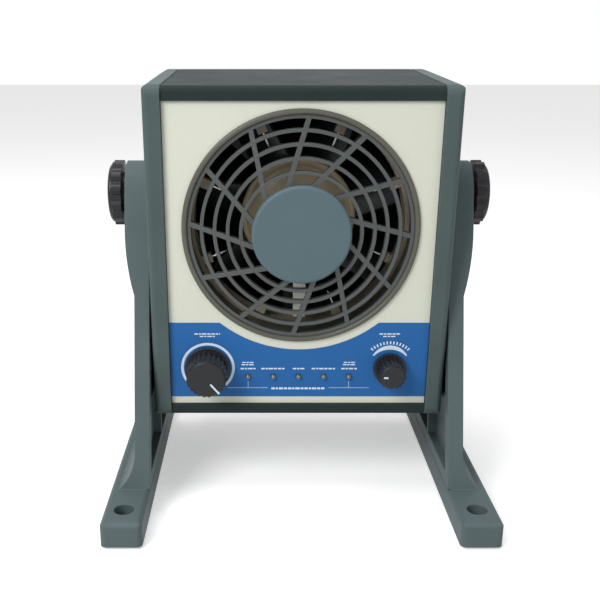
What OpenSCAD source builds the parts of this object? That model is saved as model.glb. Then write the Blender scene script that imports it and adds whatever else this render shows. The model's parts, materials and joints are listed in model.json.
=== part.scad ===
// Benchtop ionizing blower: a fan housing that tilts between two separate legs.
// X is to the right seen from the front, Y is to the back, Z is up. The origin is on
// the bench, midway between the legs and under the tilt axis.

/* [Housing] */
// Width of the housing over its two cheeks
house_w = 155; // [145:1:165]
// Height of the housing
house_h = 174.5; // [170:0.5:180]
// Depth of the housing, front of the cheeks to the back
house_d = 107; // [104:1:115]
// How far the front of the cheeks lies before the tilt axis
house_front = 45; // [42:1:50]
// Height of the tilt axis above the bottom of the housing
house_below = 113.5; // [110:0.5:118]
// Forward tilt of the housing as it stands
rest_tilt = 3; // [0:1:10]
// Width of a cheek seen from the front
cheek_w = 9; // [8:0.5:11]
// Wall thickness of a cheek
cheek_wall = 3; // [2.5:0.5:4]
// How much each cheek draws in towards the back
cheek_draft = 3; // [0:0.5:4]
// Thickness of the sheet metal of the covers
sheet = 1.5; // [1:0.25:2]
// Height of the strip above the front panel
lip_top = 7.5; // [6:0.5:9]
// Height of the strip below the front panel
lip_bottom = 7; // [6:0.5:9]
// Thickness of the front panel
panel_t = 2.5; // [2:0.25:3]

/* [Fan] */
// Side of the square fan frame
fan_size = 119.5; // [116:0.5:120]
// Depth of the fan frame
fan_depth = 38; // [34:1:40]
// Height of the fan axis above the bottom of the housing
fan_above = 103.3; // [101:0.1:105]
// Inner radius of the air duct
duct_r = 57.4; // [56:0.1:58]
// Length of the air duct behind the panel
duct_len = 29; // [27:0.5:32]
// Reach of the blades from the fan axis
blade_r = 54.4; // [52:0.1:54.8]
// Number of blades
blades = 7; // [5:1:9]
// Radius of the rotor hub
rotor_hub_r = 21; // [20:0.5:22]

/* [Grille] */
// Number of spokes
spokes = 12; // [8:1:14]
// How far each straight spoke passes beside the fan axis
spoke_offset = 13.8; // [8:0.1:16]
// How far the grille rises from its rim to its hub
grille_rise = 8; // [4:0.5:10]
// Radius of the hub cap
cap_r = 24.8; // [22:0.1:26]
// Radius of the innermost ring
ring_first = 30.2; // [29:0.1:32]
// Radius of the outermost ring
ring_last = 50; // [48:0.1:51]
// Number of rings
rings = 4; // [3:1:5]

/* [Emitters] */
// Number of emitter needles
needles = 8; // [4:1:10]
// Length of a needle
needle_len = 12; // [9:0.5:13]

/* [Controls] */
// Height of the knobs above the bottom of the housing
knob_above = 27.8; // [26:0.1:30]
// Distance between the two control knobs
knob_pitch = 96.8; // [90:0.2:100]
// Diameter of the fan speed knob
speed_d = 24.2; // [20:0.2:27]
// Diameter of the balance knob
balance_d = 17.4; // [15:0.2:20]
// Distance between two indicator lamps
lamp_pitch = 13.5; // [12:0.1:14.5]
// Height of the lamps below the knob axes
lamp_below = 5; // [2:0.5:7]

/* [Stand] */
// Gap between a cheek and a leg, filled by the friction washer
side_gap = 1.5; // [1:0.1:2]
// Height of the tilt axis above the bench
pivot_z = 163; // [160:1:180]
// Width of a foot
foot_w = 21; // [19:0.5:25]
// Height of a foot above the bench
foot_h = 14.5; // [13:0.5:18]
// Length of a foot
foot_len = 190; // [170:2:210]
// Thickness of a leg
leg_t = 8; // [7:0.25:9]
// Length of a leg where it meets its foot
leg_base = 120.5; // [110:0.5:130]
// Radius of the head of a leg
head_r = 17.3; // [16:0.1:18.5]
// Thickness of the head of a leg
head_t = 13; // [12:0.25:15]
// Distance from the end of a foot to its bolt hole
bolt_in = 14.3; // [12:0.1:18]
// Diameter of a bolt hole
bolt_d = 5.5; // [4.5:0.1:6.5]
// Diameter of the counterbore of a bolt hole
bolt_head_d = 10.4; // [9.5:0.1:12]
// Diameter of a tilt knob
tilt_knob_d = 35; // [32:0.5:38]
// Thickness of a tilt knob
tilt_knob_t = 8.5; // [8:0.5:12]
// Diameter of the stud of a tilt knob
stud_d = 8; // [6:0.5:8]

/* [Hidden] */
$fn = 64;
eps = 0.01;
cut = 1;

// Running clearances: a turning shaft in its bore, and a loose part beside its neighbour
shaft_gap = 0.05;
loose_gap = 0.2;
// What a pressed face keeps from its neighbour
face_gap = 0.02;

slate = [0.27, 0.32, 0.32];
slate_dark = [0.17, 0.21, 0.20];
cream = [0.84, 0.85, 0.79];
blue = [0.19, 0.40, 0.69];
black = [0.08, 0.08, 0.09];
steel = [0.62, 0.63, 0.65];

// Heights and depths of the housing, before it is tilted
house_z = pivot_z - house_below;
house_top = house_z + house_h;
front_y = -house_front;
back_y = front_y + house_d;
inner_x = house_w / 2 - cheek_w;
lip_y = front_y + 1;
panel_y = lip_y + sheet;
fan_z = house_z + fan_above;
knob_z = house_z + knob_above;
lamp_z = knob_z - lamp_below;
leg_x = house_w / 2 + side_gap;
foot_x = leg_x + foot_w;

// Tilts its children forward with the housing, about the tilt axis
module tilted() {
    translate([0, 0, pivot_z]) rotate([rest_tilt, 0, 0]) translate([0, 0, -pivot_z]) children();
}

// Puts its children on the front panel: x to the right, y up and z out of the panel
module on_panel() {
    tilted() translate([0, panel_y, 0]) rotate([90, 0, 0]) children();
}

// The same, with its origin on the fan axis
module on_fan() {
    on_panel() translate([0, fan_z, 0]) children();
}

// Puts its children on the rear panel, seen from behind: x to the viewer's right, z outward
module on_rear() {
    tilted() translate([0, back_y, 0]) rotate([90, 0, 180]) children();
}

// A ring about z from height z0 to z1
module ring(r_in, r_out, z0, z1) {
    translate([0, 0, z0]) difference() {
        cylinder(r = r_out, h = z1 - z0);
        translate([0, 0, -cut]) cylinder(r = r_in, h = z1 - z0 + 2 * cut);
    }
}

// A cylinder about z from height z0 to z1
module cylinder_from(r, z0, z1) {
    translate([0, 0, z0]) cylinder(r = r, h = z1 - z0);
}

// A rectangle about the origin with round corners
module round_rect(w, h, r) {
    square([w - 2 * r, h], center = true);
    square([w, h - 2 * r], center = true);
    for (x = [-1, 1], y = [-1, 1]) translate([x * (w / 2 - r), y * (h / 2 - r)]) circle(r = r);
}

// A block about its base centre with round upright edges and round top edges
module soft_block(w, l, h, r, r_top) {
    intersection() {
        linear_extrude(h) round_rect(w, l, r);
        translate([0, l, h / 2 - r_top]) rotate([90, 0, 0])
            linear_extrude(2 * l) round_rect(w, h + 2 * r_top, r_top);
        translate([-w, 0, h / 2 - r_top]) rotate([90, 0, 90])
            linear_extrude(2 * w) round_rect(l, h + 2 * r_top, r_top);
    }
}

// A pan-head screw along z: its head lies above z = 0, its shank below
module screw(shank_r, length, head_r, head_h) {
    difference() {
        intersection() {
            cylinder(r = head_r, h = head_h);
            translate([0, 0, head_h - 2 * head_r]) sphere(r = 2 * head_r);
        }
        for (a = [0, 90]) rotate([0, 0, a])
            translate([-head_r * 0.6, -head_r * 0.12, head_h * 0.45])
                cube([head_r * 1.2, head_r * 0.24, head_h]);
    }
    translate([0, 0, -length]) cylinder(r = shank_r, h = length + eps);
}

// ---- Stand ----

pad_rise = 1.5;
pad_t = 3;
pad_r = 6;
pad_in = 34;
leg_inset = 7;
leg_web = 3.5;

// Side outline of a leg, y across and z up from the top of its foot: straight edges lean in
// to the round head. inset draws it that much smaller all round.
module leg_outline(inset) {
    rise = pivot_z - foot_h;
    half = leg_base / 2;
    lean = atan(half / rise) - asin(head_r / sqrt(half * half + rise * rise));
    r = head_r - inset;
    foot_half = half - inset / cos(lean);
    touch = [r * cos(lean), rise + r * sin(lean)];
    polygon([[-foot_half, 0], [-touch[0], touch[1]], touch, [foot_half, 0]]);
    translate([0, rise]) circle(r = r);
}

// Thickness of a leg seen from the front: a thick head that curves in to the plate, and a
// hollow fillet where the plate stands on the foot
module leg_section() {
    rise = pivot_z - foot_h;
    head_low = rise - 15;
    curve_len = 35;
    step = head_t - leg_t;
    bulge_r = (curve_len * curve_len + step * step) / (2 * step);
    fillet_h = 19;
    fillet_w = 8.5;
    fillet_r = (fillet_h * fillet_h + fillet_w * fillet_w) / (2 * fillet_w);
    square([leg_t, rise + head_r]);
    translate([0, head_low]) square([head_t, head_r + 15]);
    intersection() {
        translate([head_t - bulge_r, head_low]) circle(r = bulge_r, $fn = 180);
        translate([0, head_low - curve_len]) square([head_t, curve_len + eps]);
    }
    difference() {
        square([leg_t + fillet_w, fillet_h]);
        translate([leg_t + fillet_r, fillet_h]) circle(r = fillet_r, $fn = 96);
    }
}

// One leg with its foot, on the right
module leg() {
    difference() {
        union() {
            translate([leg_x + foot_w / 2, 0, pad_rise])
                soft_block(foot_w, foot_len, foot_h - pad_rise, 3, 2.5);
            translate([leg_x, 0, foot_h - eps]) intersection() {
                rotate([90, 0, 90]) linear_extrude(foot_w) leg_outline(0);
                translate([0, leg_base, 0]) rotate([90, 0, 0])
                    linear_extrude(2 * leg_base) leg_section();
            }
        }
        translate([leg_x - cut, 0, foot_h]) rotate([90, 0, 90])
            linear_extrude(leg_t - leg_web + cut) difference() {
                intersection() {
                    leg_outline(leg_inset);
                    translate([-leg_base, 6]) square([2 * leg_base, pivot_z]);
                }
                translate([0, pivot_z - foot_h]) circle(r = 14);
                for (z = [42, 82]) translate([-leg_base, z]) square([2 * leg_base, 2.5]);
                translate([-1.25, 0]) square([2.5, pivot_z]);
            }
        translate([0, 0, pivot_z]) rotate([0, 90, 0])
            cylinder(r = stud_d / 2 + shaft_gap, h = foot_x);
        for (y = [-1, 1]) {
            translate([leg_x + foot_w / 2, y * (foot_len / 2 - bolt_in), 0]) {
                translate([0, 0, -cut]) cylinder(d = bolt_d, h = foot_h + 2 * cut);
                translate([0, 0, foot_h - 6]) cylinder(d = bolt_head_d, h = 6 + cut);
            }
            translate([leg_x + foot_w / 2, y * (foot_len / 2 - pad_in), 0])
                cylinder(r = pad_r, h = pad_t);
        }
    }
}

module right_leg() {
    color(slate) leg();
}

module left_leg() {
    color(slate) mirror([1, 0, 0]) leg();
}

module foot_pads() {
    color(black) for (x = [-1, 1], y = [-1, 1])
        translate([x * (leg_x + foot_w / 2), y * (foot_len / 2 - pad_in), 0])
            cylinder(r = pad_r, h = pad_t);
}

// ---- Tilt axis ----

insert_r = 5.5;
insert_len = 12;
insert_x = inner_x - 6;
washer_r = 15.5;
washer_bore = stud_d / 2 + 0.3;
thrust_t = 1;
knob_x = leg_x + head_t + thrust_t;
stud_in = insert_x + 1;

// Puts its children on the tilt axis: z outward to the right
module on_pivot() {
    tilted() translate([0, 0, pivot_z]) rotate([0, 90, 0]) children();
}

module pivot_inserts() {
    color([0.75, 0.62, 0.32]) for (side = [0, 1]) mirror([side, 0, 0]) on_pivot()
        ring(stud_d / 2 + shaft_gap, insert_r, insert_x, insert_x + insert_len);
}

module friction_washers() {
    color(black) for (side = [0, 1]) mirror([side, 0, 0]) on_pivot()
        ring(washer_bore, washer_r, house_w / 2, leg_x - face_gap);
}

// A disc about z from height z0 to z1 whose upper edge is rounded by radius edge
module round_disc(r, z0, z1, edge) {
    translate([0, 0, z0]) rotate_extrude() difference() {
        square([r, z1 - z0]);
        translate([r - edge, z1 - z0 - edge]) corner_cut(edge);
    }
}

// Hand knob: a prism with finger scallops, a round face and a collar that bears on the leg
module tilt_knob() {
    lobes = 12;
    collar = 1.2;
    face = 2;
    scallop = 1.6;
    r = tilt_knob_d / 2;
    on_pivot() translate([0, 0, knob_x]) difference() {
        union() {
            translate([0, 0, collar]) linear_extrude(tilt_knob_t - collar - face) difference() {
                circle(r = r);
                for (i = [0 : lobes - 1]) rotate(i * 360 / lobes)
                    translate([r - scallop + 4, 0]) circle(r = 4);
            }
            round_disc(r - scallop - 0.2, collar + 1, tilt_knob_t, 1.8);
            cylinder(r = 11, h = collar + eps);
        }
        cylinder_from(10, tilt_knob_t - 0.8, tilt_knob_t + cut);
        cylinder_from(stud_d / 2, -cut, tilt_knob_t - 3);
    }
}

module thrust_washer() {
    on_pivot() ring(washer_bore, 10.5, leg_x + head_t, knob_x);
}

module stud() {
    on_pivot() translate([0, 0, stud_in]) cylinder(d = stud_d, h = knob_x + tilt_knob_t - 3 - stud_in);
}

module right_tilt_knob() {
    color(black) tilt_knob();
}

module left_tilt_knob() {
    color(black) mirror([1, 0, 0]) tilt_knob();
}

module right_thrust_washer() {
    color(steel) thrust_washer();
}

module left_thrust_washer() {
    color(steel) mirror([1, 0, 0]) thrust_washer();
}

module right_stud() {
    color(steel) stud();
}

module left_stud() {
    color(steel) mirror([1, 0, 0]) stud();
}

// ---- Housing ----

rim_front = panel_y + panel_t + 2.5 - front_y;
rim_back = 6;
rim_edge = 3.5;
tab_h = 12;
tab_front = front_y + rim_front + 1.5;
tab_back = back_y - 6;
tab_holes = [tab_front + 10, tab_back - 10];
// Length of a screw through a tab into its post, ending short of the cheek's drafted wall
tab_screw = sheet + house_w / 2 - cheek_wall - cheek_draft * (tab_holes[1] - front_y) / house_d
    - inner_x - 0.5;
post_r = 4.5;
thread_r = 1.5;
cover_flush = 0.4;
rear_holes = [-50, 0, 50];
rear_hole_in = 5.6;

// What a round corner of radius r leaves over, about the centre of its arc
module corner_cut(r) {
    difference() {
        square(r + cut);
        circle(r = r);
    }
}

// Outer shape of a cheek, on the right
module cheek_block() {
    side_x = house_w / 2;
    intersection() {
        translate([0, 0, house_z]) linear_extrude(house_h) difference() {
            polygon([[inner_x, front_y], [side_x, front_y], [side_x - cheek_draft, back_y],
                [inner_x, back_y]]);
            translate([side_x - 3, front_y + 3]) mirror([0, 1]) corner_cut(3);
            translate([side_x - cheek_draft - 8, back_y - 8]) corner_cut(8);
        }
        translate([0, front_y + house_d / 2, house_z + house_h / 2]) rotate([90, 0, 90])
            linear_extrude(house_w) round_rect(house_d, house_h, 5);
        translate([0, back_y + cut, house_z + house_h / 2]) rotate([90, 0, 0])
            linear_extrude(house_d + 2 * cut) round_rect(house_w, house_h, 3);
    }
}

// Moulded cheek: a shallow tray, open to the inside, with posts for the cover screws and a
// boss for the threaded insert of the tilt axis
module cheek() {
    side_x = house_w / 2 - cheek_wall;
    rib_in = 15;
    tilted() {
        difference() {
            cheek_block();
            translate([0, 0, house_z + rim_edge]) linear_extrude(house_h - 2 * rim_edge)
                polygon([[inner_x - cut, front_y + rim_front], [side_x, front_y + rim_front],
                    [side_x - cheek_draft, back_y - rim_back], [inner_x - cut, back_y - rim_back]]);
            translate([0, 0, pivot_z]) rotate([0, 90, 0])
                cylinder(r = insert_r + 2, h = house_w);
        }
        for (y = tab_holes, z = [house_z + 9, house_top - 9])
            translate([inner_x, y, z]) rotate([0, 90, 0]) ring(thread_r + shaft_gap, post_r,
                0, side_x - cheek_draft * (y - front_y) / house_d - inner_x + 1);
        translate([inner_x - 3, panel_y + panel_t, house_z + rib_in])
            cube([3 + eps, 2.5, house_h - 2 * rib_in]);
        translate([0, 0, pivot_z]) rotate([0, 90, 0]) {
            ring(insert_r, 13, insert_x, insert_x + insert_len);
            ring(washer_bore, 16, insert_x + insert_len, house_w / 2);
        }
    }
}

module right_cheek() {
    color(slate) cheek();
}

module left_cheek() {
    color(slate) mirror([1, 0, 0]) cheek();
}

// Bent cover between the cheeks, drawn with its outer face at z = 0 and its folds hanging
// down: a lip in front, a tab behind and a tab along each side
module cover(lip) {
    bend = 3;
    fold_y = back_y - sheet;
    difference() {
        union() {
            translate([-inner_x, 0, 0]) rotate([90, 0, 90]) linear_extrude(2 * inner_x)
                difference() {
                    translate([lip_y, -lip]) square([fold_y - lip_y, lip]);
                    translate([lip_y + sheet, -lip - cut]) square([house_d, lip + cut - sheet]);
                    translate([lip_y + bend, -bend]) mirror([1, 0]) corner_cut(bend);
                }
            translate([-inner_x + 3, fold_y - sheet, -tab_h])
                cube([2 * inner_x - 6, sheet, tab_h - eps]);
            for (x = [-inner_x, inner_x - sheet]) translate([x, tab_front, -tab_h])
                cube([sheet, tab_back - tab_front, tab_h - eps]);
        }
        for (x = rear_holes) translate([x, fold_y + cut, -rear_hole_in]) rotate([90, 0, 0])
            cylinder(r = thread_r + shaft_gap, h = sheet + 2 * cut);
        for (y = tab_holes) translate([-house_w, y, cover_flush - 9]) rotate([0, 90, 0])
            cylinder(r = thread_r + shaft_gap, h = 2 * house_w);
    }
}

module top_cover() {
    color(slate_dark) tilted() translate([0, 0, house_top - cover_flush])
        cover(lip_top - cover_flush);
}

// Plate height of the base tray's inner face
tray_z = house_z + cover_flush + sheet;

module base_tray() {
    color(slate_dark) tilted() {
        translate([0, 0, house_z + cover_flush]) mirror([0, 0, 1])
            cover(lip_bottom - cover_flush);
        for (x = power_board_x, y = power_board_y) translate([x, y, tray_z - eps])
            ring(thread_r + shaft_gap, 3, 0, board_rise);
    }
}

// Heights of the two rows of screws that hold the rear panel
rear_rows = [house_z + cover_flush + rear_hole_in, house_top - cover_flush - rear_hole_in];
inlet_at = [-38, knob_z - 2];
switch_at = [2, knob_z - 2];
jack_at = [38, knob_z - 2];
inlet_hole = [27.4, 20.4];
switch_hole = [19.4, 13.4];
jack_r = 4;
intake_r = 55.5;

module rear_panel() {
    color(slate_dark) on_rear() translate([0, 0, -sheet]) linear_extrude(sheet) difference() {
        translate([-inner_x + loose_gap, house_z + cover_flush])
            square([2 * (inner_x - loose_gap), house_h - 2 * cover_flush]);
        translate([0, fan_z]) circle(r = intake_r, $fn = 128);
        for (x = rear_holes, z = rear_rows) translate([x, z]) circle(r = thread_r + 0.2);
        for (x = [-1, 1], z = [-1, 1]) translate([x * guard_hole, fan_z + z * guard_hole])
            circle(r = thread_r + shaft_gap);
        translate(inlet_at) square(inlet_hole, center = true);
        translate(switch_at) square(switch_hole, center = true);
        translate(jack_at) circle(r = jack_r + shaft_gap);
    }
}

boss_r = 3;
board_gap = 4.5;
board_t = 1.6;
board_z = -panel_t - board_gap;
board_half = 60;
board_low = house_z + 8;
board_high = fan_z - duct_r - 5.5;
board_holes = [for (x = [-1, 1], y = [board_low + 4, board_high - 4]) [x * (board_half - 3.5), y]];
fan_hole = 52.5;
fan_thread_r = 2;
shaft_r = 3;
lamps = 5;
lamp_r = 1.5;
sleeve_r = duct_r + 1.8;

// Places its children at the two knobs
module at_knobs() {
    for (x = [-1, 1]) translate([x * knob_pitch / 2, knob_z]) children();
}

// Places its children at the indicator lamps
module at_lamps() {
    for (i = [0 : lamps - 1]) translate([(i - (lamps - 1) / 2) * lamp_pitch, lamp_z]) children();
}

module front_panel() {
    color(cream) on_panel() {
        translate([0, 0, -panel_t]) linear_extrude(panel_t) difference() {
            translate([-inner_x + loose_gap, house_z + 3])
                square([2 * (inner_x - loose_gap), house_h - 6]);
            translate([0, fan_z]) circle(r = sleeve_r + 0.1, $fn = 128);
            at_knobs() circle(r = shaft_r + 0.3);
            at_lamps() circle(r = lamp_r + 0.1);
        }
        for (p = board_holes) translate([p[0], p[1], board_z])
            ring(thread_r + shaft_gap, boss_r, 0, board_gap + eps);
        for (x = [-1, 1], y = [-1, 1])
            translate([x * fan_hole, fan_z + y * fan_hole, -duct_len])
                ring(fan_thread_r + shaft_gap, 4.5, 0, duct_len - panel_t + eps);
    }
}

overlay_t = 0.3;
overlay_low = house_z + 11;
overlay_high = house_z + 53.4;
overlay_arc = duct_r + 7.6;

// Blue printed film under the fan, cut out round the opening
module control_overlay() {
    color(blue) on_panel() linear_extrude(overlay_t) difference() {
        translate([-inner_x + loose_gap, overlay_low])
            square([2 * (inner_x - loose_gap), overlay_high - overlay_low]);
        translate([0, fan_z]) circle(r = overlay_arc, $fn = 128);
        at_knobs() circle(r = shaft_r + 0.6);
        at_lamps() circle(r = lamp_r + 0.1);
    }
}

// ---- Fan and duct ----

module fan_bezel() {
    lip_r = duct_r + 2.8;
    lip_h = 1.8;
    color([0.36, 0.36, 0.33]) on_fan() rotate_extrude($fn = 128) {
        difference() {
            translate([duct_r, 0]) square([lip_r - duct_r, lip_h]);
            translate([lip_r - 1.2, lip_h - 1.2]) corner_cut(1.2);
            translate([duct_r + 1.2, lip_h - 1.2]) mirror([1, 0]) corner_cut(1.2);
        }
        translate([duct_r, -duct_len]) square([sleeve_r - duct_r, duct_len + eps]);
    }
}

rim_w = 1.8;
rim_z = 0.4;
bar_w = 2.4;
bar_t = 3.4;
ring_w = 1.8;
ring_t = 3.2;
grille_bore = duct_r - 0.1;
// Where a spoke starts inside the hub and ends in the rim, measured along the spoke
spoke_in = sqrt(pow(cap_r - 2.5, 2) - spoke_offset * spoke_offset);
spoke_out = sqrt(pow(grille_bore - 0.8, 2) - pow(spoke_offset + bar_w / 2, 2));
spoke_slope = atan(grille_rise / (spoke_out - spoke_in));

// Height of the grille's front face at radius r
function grille_z(r) = rim_z + (spoke_out - sqrt(r * r - spoke_offset * spoke_offset)) * tan(spoke_slope);

pin_r = 2;
hub_z = rim_z + grille_rise;
hub_t = 4;
pin_low = -12.5;
arm_top = -7;
arm_low = -10.2;

module finger_grille() {
    color(slate) on_fan() {
        ring(grille_bore - rim_w, grille_bore, rim_z - bar_t, rim_z, $fn = 128);
        for (i = [0 : rings - 1]) {
            r = ring_first + i * (ring_last - ring_first) / (rings - 1);
            ring(r - ring_w / 2, r + ring_w / 2, grille_z(r) - ring_t, grille_z(r), $fn = 128);
        }
        for (i = [0 : spokes - 1]) rotate([0, 0, 12.5 + i * 360 / spokes])
            translate([spoke_out, spoke_offset - bar_w / 2, rim_z]) rotate([0, spoke_slope, 0])
                translate([-(spoke_out - spoke_in) / cos(spoke_slope), 0, -bar_t])
                    cube([(spoke_out - spoke_in) / cos(spoke_slope), bar_w, bar_t]);
        ring(pin_r + shaft_gap, cap_r - 0.6, hub_z - hub_t, hub_z);
        ring(pin_r + shaft_gap, 5, arm_top + loose_gap, hub_z - hub_t + eps);
    }
}

cap_t = 3.8;

module hub_cap() {
    edge = 1.6;
    color([0.36, 0.42, 0.43]) on_fan() translate([0, 0, hub_z]) rotate_extrude($fn = 128)
        difference() {
            square([cap_r, cap_t]);
            translate([cap_r - edge, cap_t - edge]) corner_cut(edge);
        }
}

bearing_r = 6;
bearing_t = 4;
tube_r = 7.5;
fan_shaft_r = 2;
fan_front = -duct_len;
fan_back = -duct_len - fan_depth;
strut_t = 4;
cup_front = fan_front - 4;
cup_t = 3;
cup_len = 25;
cup_wall = 1.8;
fan_bore = duct_r - 0.4;

module fan_frame() {
    hole_at = fan_hole;
    plate_t = 4;
    color([0.13, 0.14, 0.15]) on_fan() {
        for (z = [fan_back, fan_front - plate_t]) translate([0, 0, z]) linear_extrude(plate_t)
            difference() {
                round_rect(fan_size, fan_size, 5);
                circle(r = fan_bore, $fn = 128);
                for (x = [-1, 1], y = [-1, 1]) translate([x * hole_at, y * hole_at])
                    circle(r = fan_thread_r + 0.2);
            }
        ring(fan_bore, fan_bore + 1.8, fan_back + eps, fan_front - eps, $fn = 128);
        for (x = [-1, 1], y = [-1, 1]) translate([x * hole_at, y * hole_at])
            ring(fan_thread_r + 0.2, 4.5, fan_back + eps, fan_front - eps);
        for (a = [45 : 90 : 315]) rotate([0, 0, a]) translate([tube_r - 0.5, -2.5, fan_back])
            cube([fan_bore - tube_r + 1.5, 5, strut_t]);
        ring(bearing_r, rotor_hub_r + 0.5, fan_back, fan_back + strut_t - eps);
        ring(bearing_r, tube_r, fan_back, cup_front - cup_t - 2);
    }
}

module fan_bearings() {
    color(steel) on_fan() for (z = [fan_back + eps, cup_front - cup_t - 2 - bearing_t])
        ring(fan_shaft_r + shaft_gap, bearing_r, z, z + bearing_t);
}

module fan_shaft() {
    color(steel) on_fan() translate([0, 0, fan_back + 1])
        cylinder(r = fan_shaft_r, h = cup_front - fan_back - 1.5);
}

// One fan blade: a curved strip set at an angle, running out along x
module blade(span) {
    curve_r = 30;
    blade_t = 1.6;
    chord = 30;
    rotate([90, 0, 90]) linear_extrude(span) rotate(-48) translate([0, -curve_r])
        intersection() {
            difference() {
                circle(r = curve_r + blade_t / 2, $fn = 180);
                circle(r = curve_r - blade_t / 2, $fn = 180);
            }
            translate([-chord / 2, 0]) square([chord, 2 * curve_r]);
        }
}

module fan_rotor() {
    blade_mid = cup_front - cup_len / 2;
    root_r = rotor_hub_r - cup_wall - 2;
    color([0.10, 0.11, 0.12]) on_fan() difference() {
        union() {
            cylinder_from(rotor_hub_r, cup_front - cup_len, cup_front);
            for (i = [0 : blades - 1]) rotate([0, 0, 20 + i * 360 / blades])
                translate([root_r, 0, blade_mid]) blade(blade_r - root_r);
        }
        cylinder_from(rotor_hub_r - cup_wall, cup_front - cup_len - cut, cup_front - cup_t);
        cylinder_from(fan_shaft_r, cup_front - cup_len, cup_front + cut);
    }
}

magnet_t = 1.6;

module rotor_magnet() {
    color([0.25, 0.25, 0.27]) on_fan() ring(rotor_hub_r - cup_wall - magnet_t,
        rotor_hub_r - cup_wall, cup_front - cup_len + 2, cup_front - cup_t);
}

module fan_stator() {
    poles = 6;
    pole_r = rotor_hub_r - cup_wall - magnet_t - 0.6;
    low = fan_back + strut_t + 3;
    high = cup_front - cup_t - 3;
    color([0.66, 0.40, 0.20]) on_fan() {
        difference() {
            ring(tube_r, pole_r, low, high);
            for (i = [0 : poles - 1]) rotate([0, 0, i * 360 / poles])
                translate([tube_r + 2.5, -1, low - cut]) cube([pole_r, 2, high - low + 2 * cut]);
        }
    }
}

module fan_screws() {
    length = fan_depth + 12;
    color(steel) on_fan() for (x = [-1, 1], y = [-1, 1])
        translate([x * fan_hole, y * fan_hole, fan_back]) mirror([0, 0, 1])
            screw(fan_thread_r, length, 3.6, 2.4);
}

// ---- Emitters and their cleaning brush ----

emit_front = -15;
holder_z = -18.5;
holder_in = duct_r - 7.6;
emit_r = duct_r - 2.4;
needle_r = 0.55;
needle_out = duct_r - 4;
brush_r = 49;

module emitter_ring() {
    color([0.80, 0.79, 0.74]) on_fan() {
        ring(emit_r, duct_r - 0.1, fan_front, emit_front, $fn = 128);
        for (i = [0 : needles - 1]) rotate([0, 0, (i + 0.5) * 360 / needles])
            translate([0, 0, holder_z]) difference() {
                translate([holder_in, -2.5, -2.5]) cube([emit_r - holder_in + 1, 5, 5]);
                translate([holder_in - cut, 0, 0]) rotate([0, 90, 0])
                    cylinder(r = needle_r + shaft_gap, h = needle_out - holder_in + cut);
            }
    }
}

module emitter_needles() {
    tip = 3;
    color([0.80, 0.81, 0.82]) on_fan() for (i = [0 : needles - 1])
        rotate([0, 0, (i + 0.5) * 360 / needles]) translate([needle_out, 0, holder_z])
            rotate([0, -90, 0]) {
                cylinder(r = needle_r, h = needle_len - tip);
                translate([0, 0, needle_len - tip]) cylinder(r1 = needle_r, r2 = 0.05, h = tip);
            }
}

clip_t = 0.8;
clip_top = arm_low - loose_gap;
clip_groove = pin_r - 0.4;

module brush_pivot() {
    color(steel) on_fan() {
        translate([0, 0, pin_low]) cylinder(r = pin_r, h = clip_top - clip_t - pin_low);
        translate([0, 0, pin_low]) cylinder(r = clip_groove, h = hub_z - pin_low - 1);
        translate([0, 0, clip_top]) cylinder(r = pin_r, h = hub_z - 1 - clip_top);
    }
}

module brush_clip() {
    color(steel) on_fan() ring(clip_groove, 3.6, clip_top - clip_t, clip_top);
}

// Arm of the cleaning brush, parked pointing down
module brush_arm() {
    arm_w = 6.4;
    color([0.90, 0.90, 0.87]) on_fan() {
        ring(pin_r + shaft_gap, 6, arm_low, arm_top);
        translate([-arm_w / 2, -brush_r, arm_low]) cube([arm_w, brush_r - 5, arm_top - arm_low]);
    }
}

module brush_bristles() {
    reach = holder_z + needle_r + 0.35;
    color([0.93, 0.93, 0.90]) on_fan() translate([-2.4, -brush_r + 0.6, reach])
        cube([4.8, 7.5, arm_low - reach]);
}

// ---- Controls ----

module control_board() {
    color([0.10, 0.35, 0.20]) on_panel() {
        translate([0, 0, board_z - board_t]) linear_extrude(board_t) difference() {
            translate([-board_half, board_low]) square([2 * board_half, board_high - board_low]);
            for (p = board_holes) translate(p) circle(r = thread_r + 0.1);
            at_knobs() circle(r = bushing_r + 0.1);
        }
        for (x = [-26, -8, 10]) translate([x, board_low + 3, board_z - board_t - 3])
            cube([12, 8, 3 + eps]);
    }
}

module board_screws() {
    color(steel) on_panel() for (p = board_holes) translate([p[0], p[1], board_z - board_t])
        mirror([0, 0, 1]) screw(thread_r, board_t + board_gap - 0.5, 2.7, 1.8);
}

module indicator_lamps() {
    color([0.55, 0.75, 0.55]) on_panel() at_lamps() {
        translate([0, 0, board_z]) cylinder(r = lamp_r, h = 0.8 - board_z);
        translate([0, 0, 0.8]) intersection() {
            cylinder(r = lamp_r, h = lamp_r);
            sphere(r = lamp_r, $fn = 32);
        }
        translate([0, 0, board_z]) cylinder(r = lamp_r + 0.4, h = 1);
    }
}

bushing_r = 4.5;
pot_r = 8;
pot_len = 8;
pot_back = board_z - board_t - pot_len;
shaft_end = 11;
knob_gap = 1.2;

// Puts its children on the axis of a control: side -1 is the left, 1 the right
module on_control(side) {
    on_panel() translate([side * knob_pitch / 2, knob_z, 0]) children();
}

module pot(side) {
    on_control(side) difference() {
        union() {
            translate([0, 0, pot_back]) cylinder(r = pot_r, h = pot_len);
            cylinder_from(bushing_r, pot_back, -panel_t - 0.6);
            translate([-3.5, -pot_r - 3, pot_back + 1]) cube([7, 6, pot_len - 1]);
        }
        translate([0, 0, pot_back + 2]) cylinder(r = shaft_r + shaft_gap, h = 20);
    }
}

module pot_shaft(side) {
    on_control(side) cylinder_from(shaft_r, pot_back + 2.2, shaft_end);
}

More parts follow.
